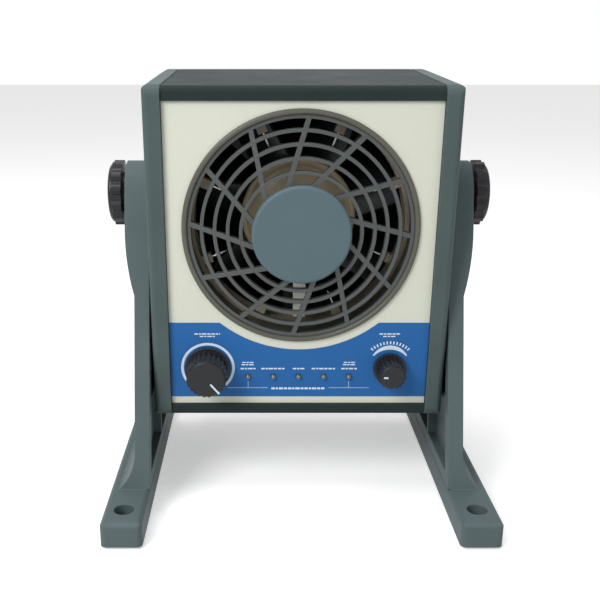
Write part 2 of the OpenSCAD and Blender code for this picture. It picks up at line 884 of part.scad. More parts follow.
// Round control knob: a thin skirt, a fluted grip and a groove that points outward
module control_knob(side, d, h, flutes, angle) {
    r = d / 2;
    skirt = 2;
    grip_r = r - 1.6;
    on_control(side) translate([0, 0, knob_gap]) difference() {
        union() {
            cylinder(r = r, h = skirt);
            linear_extrude(h - 1.2) difference() {
                circle(r = grip_r);
                for (i = [0 : flutes - 1]) rotate(i * 360 / flutes)
                    translate([grip_r + 0.35, 0]) circle(r = 0.9, $fn = 24);
            }
            round_disc(grip_r - 0.7, skirt, h, 1);
        }
        cylinder_from(shaft_r, -cut, shaft_end - knob_gap);
        rotate([0, 0, angle]) translate([grip_r * 0.3, -0.5, h - 0.5])
            cube([grip_r, 1, 1]);
    }
}

module speed_pot() {
    color([0.20, 0.30, 0.45]) pot(-1);
}

module speed_shaft() {
    color(steel) pot_shaft(-1);
}

module speed_knob() {
    color(black) control_knob(-1, speed_d, 15, 24, -50);
}

module balance_pot() {
    color([0.20, 0.30, 0.45]) pot(1);
}

module balance_shaft() {
    color(steel) pot_shaft(1);
}

module balance_knob() {
    color(black) control_knob(1, balance_d, 12.5, 18, 180);
}

// ---- Power parts on the base tray ----

board_rise = 5;
power_board_x = [10, 56];
power_board_y = [-8, 38];

module high_voltage_module() {
    size = [54, 34, 27];
    color([0.12, 0.13, 0.16]) tilted() translate([-32, 4, tray_z]) {
        soft_block(size[0], size[1], size[2], 3, 1.5);
        for (x = [-16, 16]) translate([x, 0, 0]) cylinder(r = 3, h = size[2] + 4);
    }
}

module power_board() {
    low = tray_z + board_rise;
    margin = 4.5;
    color([0.12, 0.33, 0.18]) tilted() {
        translate([0, 0, low]) linear_extrude(1.6) difference() {
            translate([power_board_x[0] - margin, power_board_y[0] - margin])
                square([power_board_x[1] - power_board_x[0] + 2 * margin,
                    power_board_y[1] - power_board_y[0] + 2 * margin]);
            for (x = power_board_x, y = power_board_y) translate([x, y])
                circle(r = thread_r + 0.1);
        }
        translate([16, -4, low]) cube([26, 30, 22]);
        for (x = [47, 55]) translate([x, 5, low]) cylinder(r = 3.6, h = 16);
        translate([47, 18, low]) cube([10, 12, 9]);
    }
}

module cover_screws() {
    color(steel) {
        for (side = [0, 1]) mirror([side, 0, 0]) tilted()
            for (y = tab_holes, z = [house_z + 9, house_top - 9])
                translate([inner_x - sheet, y, z]) rotate([0, -90, 0])
                    screw(thread_r, tab_screw, 2.7, 1.8);
        tilted() for (x = power_board_x, y = power_board_y)
            translate([x, y, tray_z + board_rise + 1.6]) screw(thread_r, 6, 2.7, 1.8);
    }
}

// ---- Back ----

guard_w = fan_size + 4.5;
guard_hole = guard_w / 2 - 5;
guard_h = 6;
guard_wall = 1.8;

// Snap-on intake guard over the filter
module rear_guard() {
    bars_r = intake_r - 1.5;
    color(slate_dark) on_rear() translate([0, fan_z, 0]) {
        difference() {
            soft_block(guard_w, guard_w, guard_h, 8, 1.5);
            translate([0, 0, -cut]) linear_extrude(guard_h - guard_wall + cut) difference() {
                round_rect(guard_w - 2 * guard_wall, guard_w - 2 * guard_wall, 6);
                for (x = [-1, 1], y = [-1, 1]) translate([x * guard_hole, y * guard_hole])
                    circle(r = 4);
            }
            cylinder(r = bars_r, h = guard_h + cut, $fn = 128);
            for (x = [-1, 1], y = [-1, 1]) translate([x * guard_hole, y * guard_hole, -cut])
                cylinder(r = thread_r + 0.2, h = guard_h + 2 * cut);
        }
        for (r = [12, 22.5, 33, 43.5])
            ring(r - 0.9, r + 0.9, guard_h - guard_wall, guard_h, $fn = 96);
        for (a = [0 : 45 : 315]) rotate([0, 0, a])
            translate([a % 90 == 0 ? 0 : 22, -1.2, guard_h - guard_wall - 0.6])
                cube([bars_r + 0.8 - (a % 90 == 0 ? 0 : 22), 2.4, guard_wall]);
    }
}

module inlet_filter() {
    color([0.15, 0.15, 0.15]) on_rear() translate([0, fan_z, 0]) linear_extrude(3.2)
        difference() {
            round_rect(guard_w - 2 * guard_wall - 1, guard_w - 2 * guard_wall - 1, 5);
            for (x = [-1, 1], y = [-1, 1]) translate([x * guard_hole, y * guard_hole])
                circle(r = 4.6);
        }
}

module mains_inlet() {
    mouth = [24.4, 16.4];
    flange = [31, 24.5];
    depth = 15;
    color(black) on_rear() translate(inlet_at) difference() {
        union() {
            linear_extrude(2.6) round_rect(flange[0], flange[1], 3);
            translate([0, 0, -depth - 4]) linear_extrude(depth + 4 + eps)
                square([inlet_hole[0] - 0.2, inlet_hole[1] - 0.2], center = true);
        }
        translate([0, 0, -depth]) linear_extrude(depth + 10) round_rect(mouth[0], mouth[1], 2);
    }
    color(steel) on_rear() translate(inlet_at) for (p = [[-7, -1.8], [7, -1.8], [0, 2.2]])
        translate([p[0], p[1], -depth - 9]) linear_extrude(depth + 4) square([2, 4], center = true);
}

rocker_r = 1.2;
rocker_half = 7;
rocker_z = -1;
rocker_tilt = 8;

module power_switch_frame() {
    color(black) on_rear() translate(switch_at) difference() {
        union() {
            linear_extrude(2) round_rect(22, 16, 2);
            translate([0, 0, -13]) linear_extrude(13 + eps)
                square([switch_hole[0] - 0.2, switch_hole[1] - 0.2], center = true);
        }
        translate([0, 0, -8]) linear_extrude(12) square([16.4, 10.4], center = true);
        translate([0, -10, rocker_z]) rotate([-90, 0, 0])
            cylinder(r = rocker_r + shaft_gap, h = 20);
    }
}

// Rocker of the power switch, pressed in on one side
module power_rocker() {
    color([0.55, 0.08, 0.07]) on_rear() translate(switch_at) translate([0, 0, rocker_z])
        rotate([90, 0, 0]) {
            translate([0, 0, -4.9]) linear_extrude(9.8) rotate(-rocker_tilt)
                polygon([[-rocker_half, 4.2], [0, 2.8], [rocker_half, 4.2], [rocker_half, 0.5],
                    [2.5, -3.5], [-2.5, -3.5], [-rocker_half, 0.5]]);
            translate([0, 0, -6.3]) cylinder(r = rocker_r, h = 12.6);
        }
}

module ground_jack() {
    color([0.80, 0.66, 0.30]) on_rear() translate(jack_at) {
        ring(2, 6, 0, 3);
        ring(2, jack_r, -12, eps);
        translate([0, 0, -14]) cylinder(r = jack_r, h = 2 + eps);
    }
}

module rear_screws() {
    color(steel) on_rear() {
        for (x = rear_holes, z = rear_rows) translate([x, z, 0]) screw(thread_r, 4, 2.7, 1.8);
        for (x = [-1, 1], z = [-1, 1])
            translate([x * guard_hole, fan_z + z * guard_hole, guard_h])
                screw(thread_r, guard_h + 2.5, 2.7, 1.8);
    }
}

left_leg();
right_leg();
foot_pads();
left_cheek();
right_cheek();
top_cover();
base_tray();
rear_panel();
front_panel();
control_overlay();
fan_bezel();
finger_grille();
hub_cap();
fan_frame();
fan_rotor();
rotor_magnet();
fan_shaft();
fan_bearings();
fan_stator();
fan_screws();
emitter_ring();
emitter_needles();
brush_pivot();
brush_arm();
brush_bristles();
brush_clip();
control_board();
board_screws();
indicator_lamps();
speed_pot();
speed_shaft();
speed_knob();
balance_pot();
balance_shaft();
balance_knob();
high_voltage_module();
power_board();
rear_guard();
inlet_filter();
mains_inlet();
power_switch_frame();
power_rocker();
ground_jack();
cover_screws();
rear_screws();
pivot_inserts();
friction_washers();
left_thrust_washer();
left_tilt_knob();
left_stud();
right_thrust_washer();
right_tilt_knob();
right_stud();
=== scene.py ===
"""Looks of a benchtop ionizing blower: camera, light, finishes, and small pieces that dress the solids."""
import json
import math

import bpy
import numpy as np
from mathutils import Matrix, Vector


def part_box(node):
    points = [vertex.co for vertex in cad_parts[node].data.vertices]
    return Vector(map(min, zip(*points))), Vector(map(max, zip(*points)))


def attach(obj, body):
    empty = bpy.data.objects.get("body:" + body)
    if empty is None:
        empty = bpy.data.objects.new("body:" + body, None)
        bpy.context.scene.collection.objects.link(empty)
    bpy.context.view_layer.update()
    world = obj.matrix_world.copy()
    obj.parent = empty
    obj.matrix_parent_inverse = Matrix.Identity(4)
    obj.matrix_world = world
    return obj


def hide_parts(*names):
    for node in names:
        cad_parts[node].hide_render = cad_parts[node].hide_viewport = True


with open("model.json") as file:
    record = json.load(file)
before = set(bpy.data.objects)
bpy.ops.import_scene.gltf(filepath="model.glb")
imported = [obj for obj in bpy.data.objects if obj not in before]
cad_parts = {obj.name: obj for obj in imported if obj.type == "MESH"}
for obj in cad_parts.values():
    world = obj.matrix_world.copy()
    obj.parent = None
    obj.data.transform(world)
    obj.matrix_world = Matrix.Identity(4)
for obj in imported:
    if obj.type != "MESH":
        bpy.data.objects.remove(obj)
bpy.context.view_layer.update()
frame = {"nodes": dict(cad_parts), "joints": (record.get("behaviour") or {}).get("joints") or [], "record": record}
NODES = frame["nodes"]
JOINTS = {j["name"]: j for j in frame["joints"]}
SLOT_OF = {part["node"]: part["material_slot"] for part in frame["record"]["subparts"]}
MM = 0.001
bpy.context.scene.view_settings.view_transform = "Standard"

# ---------------------------------------------------------------- places on the leaning housing

# The panel's own ways: RIGHT along the tilt axis, OUT along the knobs' shafts, UP along the panel
RIGHT = np.array([1.0, 0.0, 0.0])
OUT = np.array(JOINTS["speed_turn"]["axis"], dtype=float)
OUT /= np.linalg.norm(OUT)
UP = np.cross(OUT, RIGHT)
SPEED_SEAT = np.array(JOINTS["speed_turn"]["pos_m"], dtype=float)
BALANCE_SEAT = np.array(JOINTS["balance_turn"]["pos_m"], dtype=float)
FAN_SEAT = np.array(JOINTS["brush_turn"]["pos_m"], dtype=float)


def points_from(seat, node):
    """A node's vertices at rest, measured from a seat, in metres."""
    mesh = NODES[node].data
    spots = np.empty(len(mesh.vertices) * 3)
    mesh.vertices.foreach_get("co", spots)
    return spots.reshape(-1, 3) - seat


def on_plane(seat, across, above, proud):
    """Point = seat + across * right + above * up + proud * outward, for whole arrays.

    The three lengths are in millimetres, and the seat and the point in metres.
    """
    across, above, proud = np.broadcast_arrays(across, above, proud)
    return seat + MM * (across[..., None] * RIGHT + above[..., None] * UP + proud[..., None] * OUT)


# ---------------------------------------------------------------- camera


def place_camera():
    """The view of the whole front, from a little above, with the picture's middle right of the lens axis."""
    data = bpy.data.cameras.new("front_camera")
    data.sensor_width = 36.0
    data.lens = 51.24
    data.shift_x = 0.0673
    data.shift_y = 0.02
    camera = bpy.data.objects.new("front_camera", data)
    camera.location = (-0.0208, -0.4657, 0.2370)
    camera.rotation_euler = (math.radians(73.0), 0.0, 0.0)
    bpy.context.scene.collection.objects.link(camera)
    bpy.context.scene.camera = camera


place_camera()

# ---------------------------------------------------------------- node graphs


def srgb(red, green, blue):
    """A display colour of 0 to 255 as linear light."""
    value = np.array([red, green, blue]) / 255.0
    linear = np.where(value <= 0.04045, value / 12.92, ((value + 0.055) / 1.055) ** 2.4)
    return (*[float(v) for v in linear], 1.0)


def shade(colour, factor):
    """A colour made lighter or darker by one factor."""
    return (*[min(1.0, v * factor) for v in colour[:3]], 1.0)


class Graph:
    """A material's node tree, with one call per node."""

    def __init__(self, name):
        self.material = bpy.data.materials.new(name)
        self.material.use_nodes = True
        self.tree = self.material.node_tree
        self.surface = self.tree.nodes["Principled BSDF"]

    def add(self, kind, sockets=None, **settings):
        """Adds a node; sockets maps an input's name or number to a value or to another node's output."""
        made = self.tree.nodes.new("ShaderNode" + kind)
        for key, value in settings.items():
            setattr(made, key, value)
        for key, value in (sockets or {}).items():
            self.feed(made, key, value)
        return made

    def feed(self, node, key, value):
        """Sets an input, or links an output to it."""
        socket = node.inputs[key]
        if isinstance(value, bpy.types.NodeSocket):
            self.tree.links.new(value, socket)
        else:
            socket.default_value = value

    def place(self, scale=(1, 1, 1), turn=(0, 0, 0)):
        """Object coordinates, stretched and turned."""
        where = self.add("TexCoord")
        return self.add("Mapping", {0: where.outputs["Object"], "Scale": scale, "Rotation": turn}).outputs[0]

    def cloud(self, size, detail=3.0, scale=(1, 1, 1), turn=(0, 0, 0)):
        """Noise from 0 to 1, whose lumps are about size metres across."""
        sockets = {"Vector": self.place(scale, turn), "Scale": 1.0 / size, "Detail": detail}
        return self.add("TexNoise", sockets).outputs["Fac"]

    def remap(self, value, low, high, new_low, new_high):
        """Straight-line map of a value from one range to another, held at its ends."""
        made = self.add("MapRange", {0: value, 1: low, 2: high, 3: new_low, 4: new_high})
        made.clamp = True
        return made.outputs[0]

    def mix(self, factor, first, second):
        """First colour at 0, second colour at 1."""
        made = self.add("Mix", {0: factor, 6: first, 7: second}, data_type="RGBA")
        return made.outputs[2]

    def sum(self, operation, first, second):
        """One arithmetic step on two numbers."""
        return self.add("Math", {0: first, 1: second}, operation=operation).outputs[0]

    def edges(self, radius, start=0.985, end=0.80):
        """1 on sharp edges and 0 on flats: how far a rounded normal turns from the true one."""
        soft = self.add("Bevel", {"Radius": radius}, samples=4).outputs[0]
        true = self.add("NewGeometry").outputs["Normal"]
        same = self.add("VectorMath", {0: soft, 1: true}, operation="DOT_PRODUCT").outputs["Value"]
        return self.remap(same, start, end, 0.0, 1.0)

    def relief(self, height, depth, radius):
        """Bump of a height over normals that are rounded at the edges, fed to the surface."""
        soft = self.add("Bevel", {"Radius": radius}, samples=6).outputs[0]
        bump = self.add("Bump", {"Height": height, "Distance": depth, "Strength": 1.0, "Normal": soft})
        self.feed(self.surface, "Normal", bump.outputs[0])


def moulded(name, colour, rough=0.5, tone=0.08, patch=0.035, grain=0.0006, depth=0.00003,
            edge=0.0005, edge_wear_and_highlight=1.35, gloss=0.12):
    """Moulded plastic or paint: slow changes of tone, fine grain in relief and gloss, and edges lightened, partly
    as wear and partly as a painted highlight.
    """
    g = Graph(name)
    slow = g.cloud(patch, 4.0)
    fine = g.cloud(grain, 2.0)
    body = g.mix(g.remap(slow, 0.3, 0.7, 0.0, 1.0), shade(colour, 1 - tone), shade(colour, 1 + tone))
    speck = g.mix(g.remap(fine, 0.25, 0.75, 0.0, 0.25), body, shade(colour, 0.8))
    if edge_wear_and_highlight != 1.0:
        # Edges made lighter where the noise allows: partly wear, partly a painted highlight of rounded edges
        # catching light
        wear_and_highlight_mask = g.sum("MULTIPLY", g.edges(edge * 1.6), g.remap(g.cloud(0.006, 3.0), 0.35, 0.6, 0.35, 0.9))
        speck = g.mix(wear_and_highlight_mask, speck, shade(colour, edge_wear_and_highlight))
    g.feed(g.surface, "Base Color", speck)
    g.surface.inputs["Specular IOR Level"].default_value = gloss
    g.feed(g.surface, "Roughness", g.remap(g.sum("ADD", slow, fine), 0.7, 1.3, rough - 0.07, rough + 0.07))
    g.relief(fine, depth, edge)
    return g.material


def metal(name, colour, rough=0.3, stretch=(1, 1, 30), grain=0.0009, edge=0.0002):
    """Bare or plated metal: streaks of gloss along one way, and cloudy tone."""
    g = Graph(name)
    streak = g.cloud(grain * 8, 3.0, scale=stretch)
    slow = g.cloud(0.008, 3.0)
    body = g.mix(g.remap(slow, 0.3, 0.7, 0, 1), shade(colour, 0.86), shade(colour, 1.08))
    g.feed(g.surface, "Base Color", body)
    g.surface.inputs["Metallic"].default_value = 1.0
    g.feed(g.surface, "Roughness", g.remap(streak, 0.3, 0.7, rough - 0.08, rough + 0.12))
    g.relief(streak, 0.000006, edge)
    return g.material


def coated(material, weight, rough):
    """Adds a thin clear layer of even gloss."""
    surface = material.node_tree.nodes["Principled BSDF"]
    surface.inputs["Coat Weight"].default_value = weight
    surface.inputs["Coat Roughness"].default_value = rough
    return material


def foam():
    """Open-cell foam: cells from a Voronoi pattern, with painted shade dark in the pores."""
    g = Graph("filter_foam")
    cells = g.add("TexVoronoi", {"Vector": g.place(), "Scale": 900.0}, feature="DISTANCE_TO_EDGE").outputs[0]
    wall = g.remap(cells, 0.02, 0.2, 1.0, 0.0)
    # The dark colour in the pores is painted shade; the lighter colour is the cell walls
    g.feed(g.surface, "Base Color", g.mix(wall, srgb(12, 12, 13), srgb(58, 60, 60)))
    g.surface.inputs["Roughness"].default_value = 0.95
    bump = g.add("Bump", {"Height": wall, "Distance": 0.0004})
    g.feed(g.surface, "Normal", bump.outputs[0])
    return g.material


def board():
    """Solder mask over copper tracks: squares of a brick pattern broken by noise."""
    g = Graph("board")
    track = g.add("TexBrick", {"Vector": g.place((1, 1, 1), (1.57, 0, 0)), "Color1": (1, 1, 1, 1),
                               "Color2": (0.3, 0.3, 0.3, 1), "Mortar": (0, 0, 0, 1), "Scale": 220.0,
                               "Mortar Size": 0.012}).outputs["Color"]
    lit = g.sum("MULTIPLY", track, g.remap(g.cloud(0.004, 2.0), 0.4, 0.6, 0.0, 1.0))
    g.feed(g.surface, "Base Color", g.mix(lit, srgb(24, 84, 48), srgb(46, 120, 70)))
    g.surface.inputs["Roughness"].default_value = 0.35
    g.relief(lit, 0.00002, 0.0001)
    return g.material


def lens():
    """Unlit lamp lens: dark tinted resin under a clear skin."""
    g = Graph("lamp_lens")
    g.feed(g.surface, "Base Color", g.mix(g.cloud(0.0006, 2.0), srgb(52, 66, 58), srgb(92, 104, 86)))
    g.surface.inputs["Roughness"].default_value = 0.12
    g.surface.inputs["Coat Weight"].default_value = 1.0
    g.surface.inputs["Coat Roughness"].default_value = 0.05
    g.relief(g.cloud(0.0008, 2.0), 0.000004, 0.0001)
    return g.material


def wound():
    """Enamelled copper wire: fine turns across the coils."""
    g = Graph("copper")
    sockets = {"Vector": g.place(), "Scale": 600.0, "Distortion": 1.0}
    turns = g.add("TexWave", sockets, bands_direction="Z").outputs[1]
    g.feed(g.surface, "Base Color", g.mix(turns, srgb(120, 60, 28), srgb(196, 118, 66)))
    g.surface.inputs["Metallic"].default_value = 0.85
    g.feed(g.surface, "Roughness", g.remap(turns, 0, 1, 0.45, 0.3))
    g.relief(turns, 0.0001, 0.0001)
    return g.material


FINISH = {
    "slate_plastic": moulded("slate_plastic", srgb(83, 96, 98), rough=0.5, edge=0.0009, edge_wear_and_highlight=1.25),
    "cheek_plastic": moulded("cheek_plastic", srgb(75, 88, 88), rough=0.48, edge=0.0007, edge_wear_and_highlight=1.3),
    # The strong edge lightening of the cover is partly wear and partly a painted highlight along its rounded top
    # front edge
    "cover_paint": moulded("cover_paint", srgb(41, 51, 50), rough=0.5, grain=0.0011, depth=0.00004,
                           edge=0.0006, edge_wear_and_highlight=2.4, gloss=0.05),
    "cream_panel": moulded("cream_panel", srgb(208, 211, 196), rough=0.45, tone=0.015, patch=0.05,
                           depth=0.00001, edge=0.0003, edge_wear_and_highlight=1.0),
    "blue_film": coated(moulded("blue_film", srgb(40, 98, 160), rough=0.38, tone=0.03, patch=0.05,
                                grain=0.0008, depth=0.000008, edge=0.0001, edge_wear_and_highlight=1.0, gloss=0.08),
                        weight=0.06, rough=0.15),
    "bezel_plastic": moulded("bezel_plastic", srgb(84, 84, 76), rough=0.34, edge=0.0005, edge_wear_and_highlight=1.2,
                             gloss=0.3),
    "grille_plastic": moulded("grille_plastic", srgb(74, 78, 77), rough=0.33, grain=0.0004, edge=0.0004,
                              edge_wear_and_highlight=1.35, gloss=0.3),
    "cap_plastic": moulded("cap_plastic", srgb(86, 105, 111), rough=0.42, tone=0.03, edge=0.0005, edge_wear_and_highlight=1.1),
    "fan_plastic": moulded("fan_plastic", srgb(24, 25, 27), rough=0.4, edge=0.0003, gloss=0.3),
    "rotor_plastic": moulded("rotor_plastic", srgb(36, 41, 43), rough=0.3, edge=0.0003, gloss=0.4),
    "magnet": moulded("magnet", srgb(60, 60, 62), rough=0.5, edge=0.0002),
    "steel": metal("steel", srgb(196, 198, 200), 0.28),
    "copper": wound(),
    "emitter_plastic": moulded("emitter_plastic", srgb(156, 147, 128), rough=0.35, tone=0.05, edge=0.0004,
                               edge_wear_and_highlight=1.2, gloss=0.3),
    "brush_plastic": moulded("brush_plastic", srgb(226, 226, 218), rough=0.4, tone=0.02, edge=0.0003,
                             edge_wear_and_highlight=1.0),
    "board": board(),
    "lamp_lens": lens(),
    "pot_case": moulded("pot_case", srgb(54, 78, 112), rough=0.5),
    "knob_black": moulded("knob_black", srgb(30, 31, 34), rough=0.3, tone=0.1, grain=0.0005, depth=0.000015,
                          edge=0.0004, edge_wear_and_highlight=1.8, gloss=0.25),
    "potting": coated(moulded("potting", srgb(34, 36, 40), rough=0.3), weight=0.4, rough=0.1),
    "guard_plastic": moulded("guard_plastic", srgb(42, 48, 48), rough=0.45, edge=0.0004),
    "filter_foam": foam(),
    "black_plastic": moulded("black_plastic", srgb(26, 26, 27), rough=0.42, edge=0.0004, gloss=0.3),
    "rocker_red": coated(moulded("rocker_red", srgb(150, 30, 24), rough=0.25, tone=0.04, edge=0.0004,
                                 edge_wear_and_highlight=1.1), weight=0.5, rough=0.08),
    "brass": metal("brass", srgb(206, 172, 98), 0.25),
    "rubber": moulded("rubber", srgb(24, 24, 24), rough=0.8, grain=0.0004, depth=0.00006, edge_wear_and_highlight=1.2),
    "white_ink": moulded("white_ink", srgb(206, 220, 232), rough=0.45, tone=0.04, patch=0.004, grain=0.0004,
                         depth=0.000004, edge=0.00005, edge_wear_and_highlight=1.0),
    "rotor_face": moulded("rotor_face", srgb(166, 152, 122), rough=0.32, tone=0.06, patch=0.01, grain=0.0006,
                          edge=0.0003, edge_wear_and_highlight=1.15, gloss=0.5),
}

for node_name, node_object in NODES.items():
    for slot in node_object.material_slots:
        slot.material = FINISH[SLOT_OF[node_name]]

# ---------------------------------------------------------------- pieces


def make_mesh(name, points, faces, finish, body, smooth=False):
    """One piece from its points and faces, with its place in its mesh."""
    mesh = bpy.data.meshes.new(name)
    mesh.from_pydata(np.asarray(points).reshape(-1, 3).tolist(), [], faces)
    mesh.update()
    mesh.polygons.foreach_set("use_smooth", [smooth] * len(mesh.polygons))
    mesh.materials.append(FINISH[finish])
    piece = bpy.data.objects.new(name, mesh)
    bpy.context.scene.collection.objects.link(piece)
    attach(piece, body)
    return piece


def grid_faces(rows, columns, first=0, flip=False):
    """Quads between neighbours of a grid of rows x columns points, counted row by row from first."""
    r, c = np.meshgrid(np.arange(rows - 1), np.arange(columns - 1), indexing="ij")
    a = first + r * columns + c
    quads = np.stack([a, a + 1, a + columns + 1, a + columns], -1).reshape(-1, 4)
    return (quads[:, ::-1] if flip else quads).tolist()


def slab(flat, seat, low, high):
    """A flat patch given as a grid of (across, above), thickened from low to high along the outward way.

    Its closed skin is the grid at high, the same grid at low, and a strip of walls round the border.
    """
    rows, columns = flat.shape[:2]
    top = on_plane(seat, flat[..., 0], flat[..., 1], high).reshape(-1, 3)
    base = on_plane(seat, flat[..., 0], flat[..., 1], low).reshape(-1, 3)
    count = rows * columns
    index = np.arange(count).reshape(rows, columns)
    border = np.concatenate([index[0, :-1], index[:-1, -1], index[-1, :0:-1], index[:0:-1, 0]])
    following = np.roll(border, -1)
    walls = np.stack([border, following, following + count, border + count], -1)
    edge_a, edge_b = flat[0, 1] - flat[0, 0], flat[1, 0] - flat[0, 0]
    turned = edge_a[0] * edge_b[1] - edge_a[1] * edge_b[0] < 0
    faces = grid_faces(rows, columns, 0, turned) + grid_faces(rows, columns, count, not turned)
    faces += (walls if turned else walls[:, ::-1]).tolist()
    return np.concatenate([top, base]), faces


def arc_patch(inner, outer, start, end, steps):
    """Part of a flat ring: radius from inner to outer, angle from start to end, in degrees from the right."""
    angle = np.radians(np.linspace(start, end, steps))[:, None]
    radius = np.array([inner, outer])[None, :] if np.ndim(inner) == 0 else np.stack([inner, outer], -1)
    return np.stack([radius * np.cos(angle), radius * np.sin(angle)], -1)


def bar_patch(x0, x1, y0, y1):
    """A plain rectangle as a grid of two by two."""
    return np.stack(np.meshgrid([x0, x1], [y0, y1], indexing="ij"), -1).astype(float)


def join_slabs(name, patches, finish, body):
    """One piece from many slabs; each patch comes with its seat and its two heights."""
    points, faces, count = [], [], 0
    for flat, seat, low, high in patches:
        p, f = slab(flat, seat, low, high)
        points.append(p)
        faces += [[i + count for i in face] for face in f]
        count += len(p)
    return make_mesh(name, np.concatenate(points), faces, finish, body)


# ---------------------------------------------------------------- marks printed on the control film

# Lengths in millimetres, and angles in degrees counted from the right
FILM = 0.3
INK = 0.04
LINE_HALF = 0.1

# Dashes that stand for a label: their lengths in turn, the gap between two, and the least room for one
DASHES = (1.9, 1.2, 2.4, 1.6)
DASH_GAP = 0.45
DASH_ROOM = 0.3

# Ring of the speed dial: its two radii and its two ends
SPEED_RING = (12.9, 14.3)
SPEED_RING_ENDS = (-48, 228)
SPEED_RING_STEPS = 70

# Band of the balance dial: its ends, its radii there, and how far each edge moves at the middle
BAND_ENDS = (38, 142)
BAND_STEPS = 40
BAND_INNER, INNER_SWELL = 10.9, 0.4
BAND_OUTER, OUTER_SWELL = 11.6, 1.2
TICK_ANGLES = np.arange(48, 133, 7.0)
TICK_EDGES = (13.5, 15.2)
TICK_HALF = 1.5
TICK_STEPS = 4

# Rows of labels over a knob: height over its seat, and height of the letters
TITLE_ROW = (19.4, 0.7)
NOTE_ROW = (18.0, 0.6)

# Labels round the lamps, counted from the middle lamp
LAMP_PITCH = 13.5
LAMP_LABELS = (8, 13, 6.2, 13, 8.4)
LAMP_ROW = (4.3, 0.8)
END_ROWS = ((6.6, 6.8, 0.7), (7.9, 6.0, 0.6))
NAME_ROW = (-7.3, 29, 1.1)
RULE_ENDS = (16.5, 38)
RULE_LEVELS = (-7.0, -6.8)
RISER_TOP = -3.0

marks = []


def mark(flat, seat):
    """Notes a printed shape that lies on the film."""
    marks.append((flat, seat, FILM, FILM + INK))


def words(seat, centre, above, width, height):
    """A row of short dashes with small gaps in place of a label."""
    x, end = centre - width / 2, centre + width / 2
    turn = 0
    while x < end - DASH_ROOM:
        step = min(DASHES[turn % len(DASHES)], end - x)
        mark(bar_patch(x, x + step, above - height / 2, above + height / 2), seat)
        x += step + DASH_GAP
        turn += 1


def speed_dial():
    """One ring round the speed knob, open at the bottom."""
    mark(arc_patch(*SPEED_RING, *SPEED_RING_ENDS, SPEED_RING_STEPS), SPEED_SEAT)


def balance_dial():
    """A band over the balance knob, and ticks beyond it; both edges of the band swell by a half sine."""
    start, end = BAND_ENDS
    sweep = np.linspace(start, end, BAND_STEPS)
    swell = np.sin(np.radians((sweep - start) / (end - start) * 180))
    inner = BAND_INNER - INNER_SWELL * swell
    outer = BAND_OUTER + OUTER_SWELL * swell
    mark(arc_patch(inner, outer, start, end, BAND_STEPS), BALANCE_SEAT)
    for angle in TICK_ANGLES:
        mark(arc_patch(*TICK_EDGES, angle - TICK_HALF, angle + TICK_HALF, TICK_STEPS), BALANCE_SEAT)


def knob_labels(seat, shift, title_width, note_width):
    """Two rows of dashes over a knob."""
    for (above, height), width in ((TITLE_ROW, title_width), (NOTE_ROW, note_width)):
        words(seat, shift, above, width, height)


def lamp_labels():
    """Dashes over each lamp, more over the two end lamps, and a ruled line with a name row below them all."""
    lamp_low, lamp_high = [np.array(v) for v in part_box("indicator_lamps")]
    lamp_row = (lamp_low + lamp_high) / 2
    panel_mid = (SPEED_SEAT + BALANCE_SEAT) / 2
    seat = panel_mid + UP * float(np.dot(lamp_row - panel_mid, UP))
    above, height = LAMP_ROW
    for place, width in enumerate(LAMP_LABELS):
        words(seat, (place - len(LAMP_LABELS) // 2) * LAMP_PITCH, above, width, height)
    end_lamp = len(LAMP_LABELS) // 2 * LAMP_PITCH
    for side in (-1, 1):
        for above, width, height in END_ROWS:
            words(seat, side * end_lamp, above, width, height)
    words(seat, 0, *NAME_ROW)
    for side in (-1, 1):
        left, right = sorted(side * end for end in RULE_ENDS)
        mark(bar_patch(left, right, *RULE_LEVELS), seat)
        riser = side * end_lamp
        mark(bar_patch(riser - LINE_HALF, riser + LINE_HALF, RULE_LEVELS[0], RISER_TOP), seat)


speed_dial()
balance_dial()
knob_labels(SPEED_SEAT, shift=0, title_width=13.5, note_width=8.0)
knob_labels(BALANCE_SEAT, shift=-0.6, title_width=11.0, note_width=7.0)
lamp_labels()
join_slabs("printed_marks", marks, "white_ink", "housing")

# ---------------------------------------------------------------- pointer lines of the knobs

POINTER_HALF = 0.48


def turned_bar(angle, inner, outer, half):
    """A rectangle along a radius: from inner to outer, half its width to each side."""
    along = np.array([math.cos(math.radians(angle)), math.sin(math.radians(angle))])
    across = np.array([-along[1], along[0]])
    return np.array([[inner * along - half * across, inner * along + half * across],
                     [outer * along - half * across, outer * along + half * across]])


def pointer(name, seat, angle, ends, heights, body):
    """The white line in a knob's groove: a bar along a radius, between two distances and two heights."""
    bar = turned_bar(angle, *ends, POINTER_HALF)
    join_slabs(name, [(bar, seat, *heights)], "white_ink", body)


pointer("speed_pointer", SPEED_SEAT, angle=-50, ends=(3.3, 10.3), heights=(15.75, 16.25),
        body="speed_control")
pointer("balance_pointer", BALANCE_SEAT, angle=180, ends=(2.3, 4.6), heights=(13.25, 13.75),
        body="balance_control")

# ---------------------------------------------------------------- hairs of the cleaning brush

# Hairs across and up the block, how far roots and tips keep inside it and stray, and the most a hair is short
HAIR_COLUMNS, HAIR_ROWS = 11, 17
ROOT_MARGIN, TIP_MARGIN = 0.2, 0.1
ROOT_STRAY, TIP_STRAY = 0.12, 0.25
MOST_SHORT = 0.5
HAIR_SIDES = 6

# Share of a hair's length, and its radius there
HAIR_STATIONS = ((0.0, 0.11), (0.6, 0.09), (1.0, 0.03))


